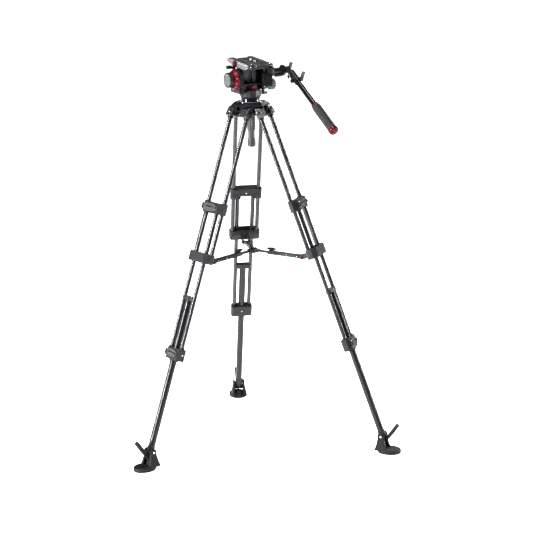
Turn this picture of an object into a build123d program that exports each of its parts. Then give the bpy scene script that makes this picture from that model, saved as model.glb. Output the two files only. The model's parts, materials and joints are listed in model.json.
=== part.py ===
from build123d import *
import math
import os

# Twin-tube video tripod with a fluid head, in millimetres, +Z up, standing on z = 0.
# Tripod parts are drawn about the bowl axis with the rear leg towards +Y.
# Head parts are drawn about the pan axis with the camera looking along +Y, then turned by HEAD_TURN.

# ---- tripod: heights and leg line ----
RIM_Z = 1340.0            # top of the bowl, and centre of the half ball
HIP_R = 52.3              # hip axle, distance from the bowl axis
HIP_Z = 1305.0
SPLAY = 20.07             # leg angle from vertical
LEG_AZIMUTHS = {"leg_rear": 90.0, "leg_left": -150.0, "leg_right": -30.0}

# ---- leg: distances down the leg from the hip axle ----
OUTER_SPACING = 98.6      # upper tube pair, centre to centre
INNER_SPACING = 60.8      # middle tube pair, centre to centre
TUBE_R = 8.0
TUBE_BORE_R = 6.5
INNER_N = 11.5            # the middle and lower stages sit this far outside the upper pair
EXTENSION_R = 13.0
EXTENSION_BORE_R = 11.2
UPPER_COLLAR_D = 375.0
BRACKET_D = 567.0
GUIDE_D = 734.0
LOWER_COLLAR_D = 941.0
EXTENSION_END_D = 1303.0
COLLAR_H = 42.0
BRACKET_H = 38.0
ARM_LUG_D = 572.0         # spreader pivot on the leg
ARM_LUG_N = -52.0
SLIDE_GAP = 0.3           # clearance of a sliding piece
RUN_GAP = 0.05            # clearance of a shaft in its bore

# ---- shoe ----
SHOE_PIN_D = 1323.0       # cross pin that the shoe swings on, down the leg
PAD_LENGTH = 92.0
PAD_WIDTH = 74.0
PAD_H = 16.0
PAD_R = 545.0             # pad centre, distance from the bowl axis

# ---- spreader ----
HUB_Z = 762.0
HUB_PIVOT_R = 17.0

# ---- bowl and half ball ----
BALL_R = 37.5
BOWL_R = 37.56
BOWL_OUTER_R = 44.0
BOWL_HOLE_R = 24.0
ROOF_H = 15.0

# ---- head ----
HEAD_TURN = 20.0          # the head is panned this far from the rear leg's line
TILT_Z = 1426.0
PLATFORM_TILT = 5.0       # rear end of the platform is lower by this angle
BASE_R = 40.0
BASE_Z = (1352.0, 1385.0)
PAN_RING_Z = (1387.3, 1402.7)
ARM_R = 39.5              # upper edge of both yoke arms
CRADLE_Z = 1466.5
PLATFORM_Z = (1478.0, 1486.0)
PLATFORM_HALF = (50.0, 82.0)
PLATE_Z = 1486.3
PLATE_H = 10.0
SCREW_REACH = 6.0         # camera screws stand this far above the plate
LARGE_SCREW_Y = -28.0
BUTTON = (16.0, 1482.5)   # y and z of the plate's safety button
BUTTON_R = 11.0
ROSETTE = (-98.0, 1469.0)  # y and z of the pan bar's pivot
BAR_KNEE = (-148.0, 1466.0)  # y and z where the sleeve starts
BAR_X = 94.5
BAR_PITCH = 26.0
BAR_TUBE_R = 11.0
TUBE_WING = (-184.0, 1449.0)  # y and z of the tube's clamp screw

parts = {}


def keep(name, shape):
    """File a finished shape under its node name."""
    shape.label = name
    parts[name] = shape


def block(x, y, z):
    """A box between three pairs of limits."""
    size = [b - a for a, b in (x, y, z)]
    middle = [(a + b) / 2 for a, b in (x, y, z)]
    return Pos(*middle) * Box(*size)


def post(radius, z, x=0.0, y=0.0):
    """A cylinder along Z between two heights."""
    return Pos(x, y, (z[0] + z[1]) / 2) * Cylinder(radius, z[1] - z[0])


def bar_x(radius, x, y, z):
    """A cylinder along X between two limits."""
    return Pos((x[0] + x[1]) / 2, y, z) * Rot(0, 90, 0) * Cylinder(radius, x[1] - x[0])


def cone_x(radii, x, y, z):
    """A cone along X, from the first radius to the second."""
    return Pos((x[0] + x[1]) / 2, y, z) * Rot(0, 90, 0) * Cone(radii[0], radii[1], x[1] - x[0])


def prism_x(points, x):
    """An outline in Y and Z, extruded along X."""
    face = make_face(Polyline(*[(x[0], y, z) for y, z in points], close=True))
    return extrude(face, amount=x[1] - x[0], dir=(1, 0, 0))


def prism_y(points, y):
    """An outline in X and Z, extruded along Y."""
    face = make_face(Polyline(*[(px, y[0], z) for px, z in points], close=True))
    return extrude(face, amount=y[1] - y[0], dir=(0, 1, 0))


def solids(*shapes):
    """Several separate solids in one node."""
    return Compound([s for shape in shapes for s in shape.solids()])


# ---------------------------------------------------------------- one leg
# Leg axes: x along the hip axle, y outward from the tripod, z up the leg, hip axle at the origin.

def pair(spacing, radius, bore, top, bottom, n):
    """Two parallel tubes, from top to bottom down the leg."""
    tube = post(radius, (-bottom, -top)) - post(bore, (-bottom - 1, -top + 1))
    return solids(*[Pos(side * spacing / 2, n, 0) * tube for side in (-1, 1)])


def pair_holes(spacing, radius, top, bottom, n):
    """The room that a pair of tubes takes up."""
    return [post(radius, (-bottom, -top), side * spacing / 2, n) for side in (-1, 1)]


def hip():
    """Casting that holds the upper tubes and turns on the hip axle."""
    body = prism_x([(-10.5, -20), (-10.5, 9), (0, 13), (8, 13), (12.5, 6), (12.5, -20)], (-60, 60))
    body -= block((-23, 23), (-20, 30), (-14, 20))
    body -= bar_x(6.0 + RUN_GAP, (-70, 70), 0, 0)
    for hole in pair_holes(OUTER_SPACING, TUBE_R, 14, 40, 0):
        body -= hole
    return body


def spreader_bracket():
    """Frame at the foot of the upper tubes, with a slot for the middle stage and two lugs."""
    z = (-BRACKET_D - BRACKET_H / 2, -BRACKET_D + BRACKET_H / 2)
    body = block((-61, 61), (-11, 30), z)
    body = fillet(body.edges().filter_by(Axis.Z), 7)
    slot = block((-39.4, 39.4), (INNER_N - 13.8, INNER_N + 13.8), (z[0] - 1, z[1] + 1))
    body -= slot
    for hole in pair_holes(OUTER_SPACING, TUBE_R, 0, 2000, 0):
        body -= hole
    for side in (-1, 1):
        cheek = block((10, 14), (ARM_LUG_N, -9), (-ARM_LUG_D - 9, -ARM_LUG_D + 9))
        cheek += bar_x(9, (10, 14), ARM_LUG_N, -ARM_LUG_D)
        body += cheek if side > 0 else mirror(cheek, Plane.YZ)
    return body


def upper_collar():
    """Clamp at the head of the middle stage, sliding on the upper tubes."""
    z = (-UPPER_COLLAR_D - COLLAR_H / 2, -UPPER_COLLAR_D + COLLAR_H / 2)
    body = block((-62, 62), (-12, 24), z)
    body = fillet(body.edges().filter_by(Axis.Z), 8)
    body -= block((-22, 22), (-20, 30), (z[0] - 1, z[0] + 12))
    for hole in pair_holes(OUTER_SPACING, TUBE_R + SLIDE_GAP, 0, 2000, 0):
        body -= hole
    for hole in pair_holes(INNER_SPACING, TUBE_R, UPPER_COLLAR_D - 15, 2000, INNER_N):
        body -= hole
    return body


def lower_collar():
    """Clamp at the foot of the middle stage, round the extension tube."""
    z = (-LOWER_COLLAR_D - COLLAR_H / 2 - 3, -LOWER_COLLAR_D + COLLAR_H / 2)
    body = block((-43, 43), (INNER_N - 18, INNER_N + 18), z)
    body = fillet(body.edges().filter_by(Axis.Z), 8)
    body -= post(EXTENSION_R + SLIDE_GAP, (z[0] - 1, z[1] + 1), 0, INNER_N)
    for hole in pair_holes(INNER_SPACING, TUBE_R, 0, LOWER_COLLAR_D + 15, INNER_N):
        body -= hole
    return body


def clamp_lever(width, n):
    """Lens-shaped lever lying on a collar's outer face, hinged at its +x end."""
    reach = width / 2
    heel = reach - 0.8
    face = make_face([
        ThreePointArc((-reach, 0, 0), (0, 0, 11), (heel, 0, 3)),
        Line((heel, 0, 3), (heel, 0, -5)),
        ThreePointArc((heel, 0, -5), (0, 0, -10), (-reach, 0, 0)),
    ])
    blade = extrude(face, amount=5, dir=(0, 1, 0))
    barrel = post(4.5, (-9, 9), reach - 2, 4.5)
    return Pos(0, n, 0) * (blade + barrel)


def extension():
    """Single lower tube and the guide block at its top."""
    tube = post(EXTENSION_R, (-EXTENSION_END_D, -GUIDE_D), 0, INNER_N)
    tube -= post(EXTENSION_BORE_R, (-EXTENSION_END_D - 1, -GUIDE_D + 1), 0, INNER_N)
    guide = block((-30, 30), (INNER_N - 12, INNER_N + 12), (-GUIDE_D + 0.1, -GUIDE_D + 16))
    for hole in pair_holes(INNER_SPACING, TUBE_R + SLIDE_GAP, 0, 2000, INNER_N):
        guide -= hole
    guide = guide.solids().sort_by(SortBy.VOLUME)[-1]
    return solids(tube, guide)


def leg_end():
    """Metal end fitting with a cross pin and a spike."""
    top = -EXTENSION_END_D
    body = post(14.5, (top - 32, top), 0, INNER_N) + bar_x(3.5, (-25, 25), INNER_N, -SHOE_PIN_D)
    body += post(EXTENSION_BORE_R, (top, top + 20), 0, INNER_N)
    spike = Pos(0, INNER_N, top - 45) * Cone(0.8, 8, 26)
    return body + spike


def shoe(pivot, pad_y):
    """Oval rubber shoe in its own upright axes, centred on the leg end's pivot height."""
    pad = Pos(0, pad_y, PAD_H / 2) * extrude(Ellipse(PAD_WIDTH / 2, PAD_LENGTH / 2), PAD_H / 2, both=True)
    pad = fillet(pad.edges(), 4)
    arm = prism_y([(19, 12), (31, 12), (25, 62), (22, 78), (17.5, 78), (17.5, 40)], (-9, 9))
    arm = Pos(0, pivot[0], 0) * arm
    shape = pad + arm + mirror(arm, Plane.YZ)
    shape -= Pos(0, pivot[0], PAD_H) * Sphere(15)
    return shape - bar_x(3.5 + RUN_GAP, (-40, 40), *pivot)


# ---------------------------------------------------------------- spreader

def hub():
    """Centre block with three forks for the arms."""
    body = post(13, (HUB_Z - 9, HUB_Z + 9))
    for azimuth in LEG_AZIMUTHS.values():
        fork = block((-12, -8.4), (4, HUB_PIVOT_R + 6), (HUB_Z - 6, HUB_Z + 6))
        body += Rot(0, 0, azimuth - 90) * (fork + mirror(fork, Plane.YZ))
        body -= Rot(0, 0, azimuth - 90) * block((-8.4, 8.4), (9, 40), (HUB_Z - 20, HUB_Z + 20))
    return body


def spreader_arm(length):
    """Arm along +Y from the hub pivot to the leg pivot: a channel and its thinner inner bar."""
    eye = bar_x(6, (-8, 8), 0, 0)
    inner = block((-5, 5), (0, 70), (-4, 4))
    outer = block((-8, 8), (42, length), (-6.5, 6.5))
    end = bar_x(8, (-9.6, 9.6), length, 0)
    return eye + inner + outer + end


def spreader_knob():
    """Thumb screw that locks an arm's length."""
    knob = post(3, (6.9, 10), 0, 56) + post(9.5, (10, 19), 0, 56)
    for step in range(6):
        angle = math.radians(60 * step)
        knob -= post(3, (9, 20), 11 * math.cos(angle), 56 + 11 * math.sin(angle))
    return knob


# ---------------------------------------------------------------- crown and bowl

def roof():
    """Six-sided top of the crown."""
    corners = []
    for azimuth in sorted(a % 360 for a in LEG_AZIMUTHS.values()):
        turn = Rot(0, 0, azimuth - 90)
        for side in (58, -58):
            spot = (turn * Pos(side, 66, 0)).position
            corners.append((spot.X, spot.Y, RIM_Z - ROOF_H))
    shape = extrude(make_face(Polyline(*corners, close=True)), amount=ROOF_H, dir=(0, 0, 1))
    return chamfer(shape.faces().sort_by(Axis.Z)[-1].edges(), 11, 14)


def crown():
    """Bowl, roof, three lugs and the hip axles."""
    body = roof()
    shell = Pos(0, 0, RIM_Z) * Sphere(BOWL_OUTER_R)
    shell &= block((-60, 60), (-60, 60), (RIM_Z - 31, RIM_Z - 1))
    body += shell
    axles = []
    for azimuth in LEG_AZIMUTHS.values():
        turn = Rot(0, 0, azimuth - 90)
        lug = block((-22, 22), (37, HIP_R + 9), (HIP_Z - 11, RIM_Z - 5))
        lug -= bar_x(6.0, (-30, 30), HIP_R, HIP_Z)
        body += turn * lug
        axles.append(turn * bar_x(6.0, (-61, 61), HIP_R, HIP_Z))
    body -= Pos(0, 0, RIM_Z) * Sphere(BOWL_R)
    body -= post(BOWL_HOLE_R, (RIM_Z - 60, RIM_Z))
    return solids(body, *axles)


def half_ball():
    """Levelling half ball, its flange and the clamp stud."""
    ball = Pos(0, 0, RIM_Z) * Sphere(BALL_R)
    ball &= block((-50, 50), (-50, 50), (RIM_Z - 34, RIM_Z + 0.5))
    flange = post(36, (RIM_Z, BASE_Z[0]))
    stud = post(6, (RIM_Z - 80, RIM_Z - 20))
    return ball + flange + stud


def clamp_handle():
    """Dished nut and long grip under the bowl."""
    nut = post(30, (RIM_Z - 54, RIM_Z - 33)) - Pos(0, 0, RIM_Z) * Sphere(BOWL_OUTER_R + 0.2)
    grip = post(16, (1230, RIM_Z - 52)) + post(12.5, (1198, 1231)) + post(15, (1166, 1199))
    body = nut + grip
    return body - post(6 + RUN_GAP, (RIM_Z - 82, RIM_Z))


# ---------------------------------------------------------------- head, pan part

def head_base():
    """Fixed base casting between the half ball and the pan bearing."""
    body = post(BASE_R, (BASE_Z[0] + 8, BASE_Z[1])) + Pos(0, 0, BASE_Z[0] + 4) * Cone(34, BASE_R, 8)
    body = chamfer(body.faces().sort_by(Axis.Z)[-1].edges(), 4)
    return body + post(12, (BASE_Z[1] - 1, 1400))


def pan_ring():
    """Ring that sets the pan drag."""
    ring = post(31, PAN_RING_Z) - post(24, (PAN_RING_Z[0] - 1, PAN_RING_Z[1] + 1))
    return chamfer(ring.edges().group_by(SortBy.LENGTH)[-1], 1.5)


def yoke():
    """Pan frame: hub, cross plate and the left arm with its low flank."""
    body = post(23.7, (BASE_Z[1] + 0.3, 1406))
    body += block((-34, 32), (-28, 28), (1403.2, 1409.5)) + block((-18, 16), (-9, 9), (1409, 1418.7))
    flank = prism_y(
        [(-66, 1378), (-54, 1371), (-33, 1403.2), (-33, 1409.5), (-45.5, 1409.5), (-45.5, 1470), (-66, 1470)],
        (-34, 34),
    )
    upper = bar_x(ARM_R, (-70, -20), 0, TILT_Z)
    lower = bar_x(57, (-70, -20), 0, TILT_Z) & block((-70, -20), (-60, 60), (1360, TILT_Z))
    body += flank & (upper + lower)
    body += bar_x(21.7, (-88, -66), 0, TILT_Z)
    body -= post(12 + RUN_GAP, (1380, 1400.3))
    return body - bar_x(6.5 + RUN_GAP, (-80, -20), 0, TILT_Z)


def spring_housing():
    """Right arm of the yoke, with the counterbalance springs inside."""
    flank = block((32, 75), (-36, 36), (1385.5, 1470))
    upper = bar_x(ARM_R, (20, 80), 0, TILT_Z)
    lower = bar_x(47, (20, 80), 0, TILT_Z) & block((20, 80), (-60, 60), (1370, TILT_Z))
    body = flank & (upper + lower)
    body = body - bar_x(6.5 + RUN_GAP, (20, 66), 0, TILT_Z)
    return body + bar_x(9, (74, 79), -22, 1440) + bar_x(8, (74, 78), 0, 1398)


def balance_knob():
    """Counterbalance selector on the right."""
    knob = bar_x(21, (79, 103), 0, 1398)
    knob = chamfer(knob.edges().sort_by(Axis.X)[-1], 3)
    for step in range(12):
        angle = math.radians(30 * step)
        knob -= bar_x(1.6, (83, 110), 21 * math.cos(angle), 1398 + 21 * math.sin(angle))
    return knob - bar_x(5, (70, 90), 0, 1398) + bar_x(4.9, (78.3, 92), 0, 1398)


def drag_ring():
    """Ring that sets the tilt drag."""
    ring = bar_x(39, (-69.5, -66.5), 0, TILT_Z) + cone_x((31.5, 39), (-80, -69.5), 0, TILT_Z)
    return ring - bar_x(22, (-90, -60), 0, TILT_Z)


def drag_cap():
    """Fixed cap over the tilt drag unit."""
    cap = bar_x(28.5, (-99.5, -80.3), 0, TILT_Z)
    cap = chamfer(cap.edges().sort_by(Axis.X)[0], 1.5)
    return cap - bar_x(21.7, (-88, -80), 0, TILT_Z)


def pan_lever():
    """Pan lock lever under the right arm."""
    return block((43, 66), (-19, -5), (1364, 1373.5)) + post(7, (1364, 1385.2), 48.5, -10)


def tilt_lever():
    """Tilt lock lever on the right arm: hub, crank and grip."""
    body = bar_x(9, (79.3, 86), -22, 1440) + block((80, 86), (-62, -22), (1436, 1447))
    return body + bar_x(7.5, (80, 112), -62, 1441.5)


# ---------------------------------------------------------------- head, tilting part (drawn level)

def cradle():
    """Tilting bridge: slab, two legs and the tilt shaft."""
    slab = block((-48, 50), (-42, 42), (CRADLE_Z, PLATFORM_Z[0]))
    front = [(28, CRADLE_Z + 1), (25, 1450), (16, 1424), (8, 1413.5), (-8, 1413.5)]
    left = prism_x(front + [(-16, 1424), (-25, 1450), (-28, CRADLE_Z + 1)], (-45, -20))
    right = prism_x(front + [(0, CRADLE_Z + 1)], (18, 31))
    shaft = bar_x(6.5, (-64, 62), 0, TILT_Z)
    return slab + left + right + shaft


def platform():
    """Plate tray with a tall left wall, a low right wall and the pan bar's boss."""
    low, high = PLATFORM_Z
    half_x, half_y = PLATFORM_HALF
    tray = block((-half_x, half_x), (-half_y, half_y), (low + 0.02, high))
    wall = prism_x([(-82, 1482), (-60, 1472), (40, 1471), (82, 1482), (82, 1494), (-82, 1494)], (-57, -49.5))
    left = block((-57, -29.5), (-half_y, half_y), (low + 2, 1494))
    right = block((29.5, half_x), (-half_y, half_y), (low + 2, 1494))
    y, z = ROSETTE
    bracket = block((38, 54), (y - 8, -60), (1456, low + 2)) + bar_x(11, (38, 78), y, z)
    bracket += bar_x(7.5, (50, 77.5), y - 3, z - 15)
    body = tray + wall + left + right + bracket
    return body - bar_x(BUTTON_R + 0.4, (-60, -53.5), *BUTTON)


def plate():
    """Sliding camera plate with a slot and a thread hole for each camera screw."""
    body = block((-29, 29), (-96, 54), (PLATE_Z, PLATE_Z + PLATE_H))
    body = chamfer(body.faces().sort_by(Axis.Z)[-1].edges(), 1.5)
    body -= post(3.3, (1480, 1500), 0, 0) + post(4.9, (1480, 1500), 0, LARGE_SCREW_Y)
    return body


def camera_screws():
    """Two captive camera screws: a quarter inch and three eighths."""
    top = PLATE_Z + PLATE_H
    small = post(2.8, (PLATE_Z + 1, top), 0, 0) + post(3.175, (top, top + SCREW_REACH), 0, 0)
    large = post(4.4, (PLATE_Z + 1, top), 0, LARGE_SCREW_Y) + post(4.7625, (top, top + SCREW_REACH), 0, LARGE_SCREW_Y)
    return solids(small, large)


def plate_lever():
    """Lever that clamps the sliding plate."""
    return block((-90, -57), (22, 34), (1463, 1470.5)) + post(8, (1461, 1470.5), -57.5, 28)


def plate_button():
    """Safety button that lets the plate out."""
    return bar_x(BUTTON_R, (-64, -57.2), *BUTTON)


# ---------------------------------------------------------------- pan bar

def bar_arm():
    """Pivot eye, curved arm and the sleeve that clamps the tube."""
    y, z = ROSETTE
    eye = bar_x(20, (78.4, 86), y, z) + bar_x(13.5, (85.5, 105), y, z)
    path = ThreePointArc((BAR_X, y, z), (BAR_X, y - 26, z + 3.6), (BAR_X, *BAR_KNEE))
    tangent = path % 0
    arm = sweep(Plane(path @ 0, z_dir=tangent) * Circle(10.5), path)
    sleeve = on_bar(post(14.5, (-4, 56)) + bar_x(7.5, (-22, 0), -4, 40))
    bore = on_bar(post(BAR_TUBE_R + SLIDE_GAP, (3, 63)))
    return eye + arm + sleeve - bore


def on_bar(shape):
    """Place a shape drawn along +Z from the sleeve's top end."""
    return Pos(BAR_X, *BAR_KNEE) * Rot(90 + BAR_PITCH, 0, 0) * shape


def bar_tube():
    """Straight tube that slides in the sleeve."""
    return on_bar(post(BAR_TUBE_R, (6, 240)))


def bar_grip():
    """Collar, rubber grip and end cap."""
    body = post(14, (192, 202)) + post(16.5, (201, 334)) + post(18, (334, 348))
    return on_bar(body - post(BAR_TUBE_R, (180, 240)))


def wing(x, y, z):
    """Locking lever: a round hub along X with one upright wing."""
    hub_part = bar_x(8.5, (x, x + 9), y, z)
    blade = prism_y([(x + 2, z), (x + 9, z), (x + 17, z + 27), (x + 11, z + 29)], (y - 7, y + 7))
    return hub_part + blade


# ---------------------------------------------------------------- assembly

def leg_frame(azimuth):
    """From leg axes to tripod axes."""
    return Rot(0, 0, azimuth - 90) * Pos(0, HIP_R, HIP_Z) * Rot(SPLAY, 0, 0)


def leg_point(azimuth, x, n, d):
    """A point of the leg in tripod axes."""
    return (leg_frame(azimuth) * Pos(x, n, -d)).position


def head_frame():
    """From head axes to tripod axes."""
    return Rot(0, 0, HEAD_TURN)


def tilt_frame():
    """From level tilting parts to tripod axes."""
    return head_frame() * Pos(0, 0, TILT_Z) * Rot(PLATFORM_TILT, 0, 0) * Pos(0, 0, -TILT_Z)


def arm_line():
    """Length and rise of a spreader arm from the hub pivot to the leg pivot."""
    lug = leg_point(90, 0, ARM_LUG_N, ARM_LUG_D)
    run = lug.Y - HUB_PIVOT_R
    rise = lug.Z - HUB_Z
    return math.hypot(run, rise), math.degrees(math.atan2(rise, run))


def build_legs():
    """Every piece of the three legs."""
    for name, azimuth in LEG_AZIMUTHS.items():
        frame = leg_frame(azimuth)
        keep(f"{name}_hip", frame * hip())
        keep(f"{name}_upper_tubes", frame * pair(OUTER_SPACING, TUBE_R, TUBE_BORE_R, 14.1, 586, 0))
        keep(f"{name}_bracket", frame * spreader_bracket())
        keep(f"{name}_collars", frame * solids(upper_collar(), lower_collar()))
        keep(f"{name}_middle_tubes", frame * pair(
            INNER_SPACING, TUBE_R, TUBE_BORE_R, UPPER_COLLAR_D - 14.9, LOWER_COLLAR_D + 14.9, INNER_N))
        keep(f"{name}_extension", frame * extension())
        keep(f"{name}_end", frame * leg_end())
        keep(f"{name}_upper_lever", frame * Pos(0, 0, -UPPER_COLLAR_D) * clamp_lever(88, 24.3))
        keep(f"{name}_lower_lever", frame * Pos(0, 0, -LOWER_COLLAR_D) * clamp_lever(66, INNER_N + 18.3))
        end = leg_point(90, 0, INNER_N, SHOE_PIN_D)
        keep(f"{name}_shoe", Rot(0, 0, azimuth - 90) * shoe((end.Y, end.Z), PAD_R))


def build_spreader():
    """Hub, three arms and their knobs."""
    keep("spreader_hub", hub())
    length, slope = arm_line()
    for name, azimuth in LEG_AZIMUTHS.items():
        frame = Rot(0, 0, azimuth - 90) * Pos(0, HUB_PIVOT_R, HUB_Z) * Rot(slope, 0, 0)
        side = name.replace("leg_", "")
        keep(f"spreader_arm_{side}", frame * spreader_arm(length))
        keep(f"spreader_knob_{side}", frame * spreader_knob())


def build_head():
    """Bowl, half ball and every piece of the fluid head."""
    keep("crown", crown())
    keep("half_ball", half_ball())
    keep("clamp_handle", clamp_handle())
    panned = {
        "head_base": head_base(), "pan_ring": pan_ring(), "yoke": yoke(), "spring_housing": spring_housing(),
        "balance_knob": balance_knob(), "drag_ring": drag_ring(), "drag_cap": drag_cap(),
        "pan_lever": pan_lever(), "tilt_lever": tilt_lever(),
    }
    tilted = {
        "cradle": cradle(), "platform": platform(), "plate": plate(), "camera_screws": camera_screws(),
        "plate_lever": plate_lever(), "plate_button": plate_button(), "bar_arm": bar_arm(),
        "bar_tube": bar_tube(), "bar_grip": bar_grip(),
        "pivot_wing": wing(105.3, *ROSETTE),
        "tube_wing": wing(BAR_X + 14.8, *TUBE_WING),
    }
    for name, shape in panned.items():
        keep(name, head_frame() * shape)
    for name, shape in tilted.items():
        keep(name, tilt_frame() * shape)


def centre_shift():
    """Move that puts the middle of the whole object's plan over the origin."""
    boxes = [shape.bounding_box() for shape in parts.values()]
    middle_x = (min(b.min.X for b in boxes) + max(b.max.X for b in boxes)) / 2
    middle_y = (min(b.min.Y for b in boxes) + max(b.max.Y for b in boxes)) / 2
    return Pos(-middle_x, -middle_y, 0)


build_legs()
build_spreader()
build_head()
SHIFT = centre_shift()

os.makedirs("parts", exist_ok=True)
for node, shape in parts.items():
    export_step(SHIFT * shape, f"parts/{node}.step")
print(len(parts), "nodes, bowl axis at", SHIFT.position.X, SHIFT.position.Y)
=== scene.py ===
import json
import math
from functools import partial

import bmesh
import bpy
from mathutils import Matrix, Vector


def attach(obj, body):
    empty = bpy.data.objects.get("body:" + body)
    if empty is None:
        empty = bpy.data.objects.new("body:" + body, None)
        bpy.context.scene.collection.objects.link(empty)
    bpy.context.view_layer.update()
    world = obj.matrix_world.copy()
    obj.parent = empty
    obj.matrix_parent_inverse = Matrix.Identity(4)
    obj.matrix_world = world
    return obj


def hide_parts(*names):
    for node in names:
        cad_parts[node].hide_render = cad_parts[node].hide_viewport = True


# Shapes are written in millimetres, in the axes of the assembly they belong to, and placed in the
# row frame by the matrices below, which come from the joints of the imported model.

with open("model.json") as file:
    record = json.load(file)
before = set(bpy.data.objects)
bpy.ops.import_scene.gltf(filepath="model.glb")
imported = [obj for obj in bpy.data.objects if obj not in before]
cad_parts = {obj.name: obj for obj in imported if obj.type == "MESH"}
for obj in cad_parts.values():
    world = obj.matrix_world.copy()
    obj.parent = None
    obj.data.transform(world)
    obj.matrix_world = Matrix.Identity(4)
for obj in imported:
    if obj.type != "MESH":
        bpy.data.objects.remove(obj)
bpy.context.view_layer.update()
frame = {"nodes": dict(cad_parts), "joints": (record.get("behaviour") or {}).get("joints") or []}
JOINTS = {joint["name"]: joint for joint in frame["joints"]}
LEGS = {"leg_rear": "rear", "leg_left": "left", "leg_right": "right"}
UP = Vector((0, 0, 1))

RIGHT, LEFT = (1, 0, 0), (-1, 0, 0)
FRONT, BACK = (0, -1, 0), (0, 1, 0)
DOWN = (0, 0, -1)

OUTER_X = 49.3  # upper tubes, either side of the leg's middle
INNER_X = 30.4  # middle tubes
INNER_N = 11.5  # the middle and lower stages sit this far outside the upper pair
TUBE_R = 8.0
TUBE_BORE_R = 6.5
EXTENSION_R = 13.0  # lower tube
EXTENSION_BORE_R = 11.2
EXTENSION_END = -1303.0
UPPER_LEVER = (44.0, 24.3, -375.0)  # reach, and place outward and along the leg
LOWER_LEVER = (33.0, 29.8, -941.0)
LUG = (-52, -572)  # a spreader arm's pivot on the leg, outward and along
SHOE_Y = 545.0  # middle of a shoe, out from the tripod's axis
ARM_KNOB_Y = 56
HIP_AXLE = (52.3, 1305)  # outward and up
RIM_Z = 1340.0  # the bowl's rim and the centre of the levelling ball
TILT_Z = 1426.0
PLATE_TOP = 1496.3
BUTTON = (16, 1482.5)  # along the plate and up
BAR_PIVOT = (-98, 1469)

WORLD_LIGHT = 0.1
SUN_LIGHT = 1.0
LAMPS = (  # name, place, size, watts
    ("key", (-3.3, -1.5, 1.7), (0.4, 2.8), 300),
    ("fill", (3.4, -0.3, 1.6), (0.25, 2.6), 150),
    ("top", (-0.4, -0.6, 4.4), (1.6, 1.2), 70),
    ("rim", (2.2, 3.6, 3.0), (1.2, 2.0), 90),
)
LIT_SPOT = Vector((0, 0, 0.9))  # every light points here
FLOOR_GLOW = (0.15, 0.68)  # the floor's own light, in front and behind
FLOOR_GLOW_Y = (-6.0, -1.3)  # where it starts and ends rising
CAMERA_HEADING = Vector((0.1419, 0.9606, -0.2392))
CAMERA_ROLL = 0.02


# ---- frames

def point(name):
    """Where a joint is."""
    return Vector(JOINTS[name]["pos_m"])


def axis(name):
    """Which way a joint points."""
    return Vector(JOINTS[name]["axis"]).normalized()


def axes(x, z, origin, zero=(0, 0, 0)):
    """From millimetre axes to the row frame, with the local point zero at origin."""
    turn = Matrix((x, z.cross(x), z)).transposed().to_4x4()
    return Matrix.Translation(origin) @ turn @ Matrix.Scale(0.001, 4) @ Matrix.Translation(-Vector(zero))


HEAD_X = -axis("tilt")
PAN = point("pan")
TRIPOD = axes(Vector((1, 0, 0)), UP, Vector((PAN.x, PAN.y, 0)))
HEAD = axes(HEAD_X, UP, Vector((PAN.x, PAN.y, 0)))
TILT = axes(HEAD_X, HEAD_X.cross(axis("plate_slide")), point("tilt"), (0, 0, TILT_Z))
BAR = axes(HEAD_X, axis("bar_tube_slide"), TILT @ Vector((94.5, -148, 1466)))
LEG = {
    leg: axes(-axis(f"{leg}_splay"), axis(f"{leg}_middle_slide"), point(f"{leg}_splay"))
    for leg in LEGS
}
FOOT = {leg: axes(-axis(f"{leg}_splay"), UP, Vector((PAN.x, PAN.y, 0))) for leg in LEGS}
ARM = {
    side: axes(-axis(f"{leg}_splay"), axis(f"spreader_knob_{side}_turn"),
               point(f"spreader_arm_{side}_swing"))
    for leg, side in LEGS.items()
}
CAMERA_SPOT = (PAN.x - 0.9042, PAN.y - 6.1234, 2.2058)


# ---- materials

MATERIALS = {}


def nodes_of(name):
    """A new material's node tree and its shader."""
    made = bpy.data.materials.new(name)
    made.use_nodes = True
    MATERIALS[name] = made
    return made.node_tree, made.node_tree.nodes["Principled BSDF"]


def feed(tree, socket, value):
    """Link another node's output to a socket, or set the socket to a plain value."""
    if isinstance(value, bpy.types.NodeSocket):
        tree.links.new(value, socket)
    else:
        socket.default_value = value


def add(tree, kind, **sockets):
    """A node with some of its inputs set by name, or by number as i0, i1."""
    node = tree.nodes.new(kind)
    for key, value in sockets.items():
        numbered = key[0] == "i" and key[1:].isdigit()
        feed(tree, node.inputs[int(key[1:]) if numbered else key], value)
    return node


def calc(tree, operation, *values):
    """A math node's result."""
    node = tree.nodes.new("ShaderNodeMath")
    node.operation = operation
    for socket, value in zip(node.inputs, values):
        feed(tree, socket, value)
    return node.outputs[0]


def between(tree, value, low, high, start=0.0, end=1.0):
    """The value's range start to end, mapped to low to high."""
    node = add(tree, "ShaderNodeMapRange", i0=value, i1=start, i2=end, i3=low, i4=high)
    return node.outputs[0]


def blend_colour(tree, share, first, second):
    """First colour at share 0, second at 1."""
    node = tree.nodes.new("ShaderNodeMix")
    node.data_type = "RGBA"
    for number, value in ((0, share), (6, first), (7, second)):
        feed(tree, node.inputs[number], value)
    return node.outputs[2]


def noise(tree, scale, detail=3.0, stretch=None):
    """Noise over the object's own coordinates, in cycles per metre."""
    spot = tree.nodes.new("ShaderNodeTexCoord").outputs["Object"]
    if stretch:
        spot = add(tree, "ShaderNodeMapping", Vector=spot, Scale=stretch).outputs[0]
    node = add(tree, "ShaderNodeTexNoise", Vector=spot, Scale=scale, Detail=detail)
    return node.outputs[0]


def rgba(colour, factor=1.0):
    """A colour made darker or lighter, with its alpha."""
    return tuple(min(1.0, c * factor) for c in colour) + (1.0,)


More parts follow.
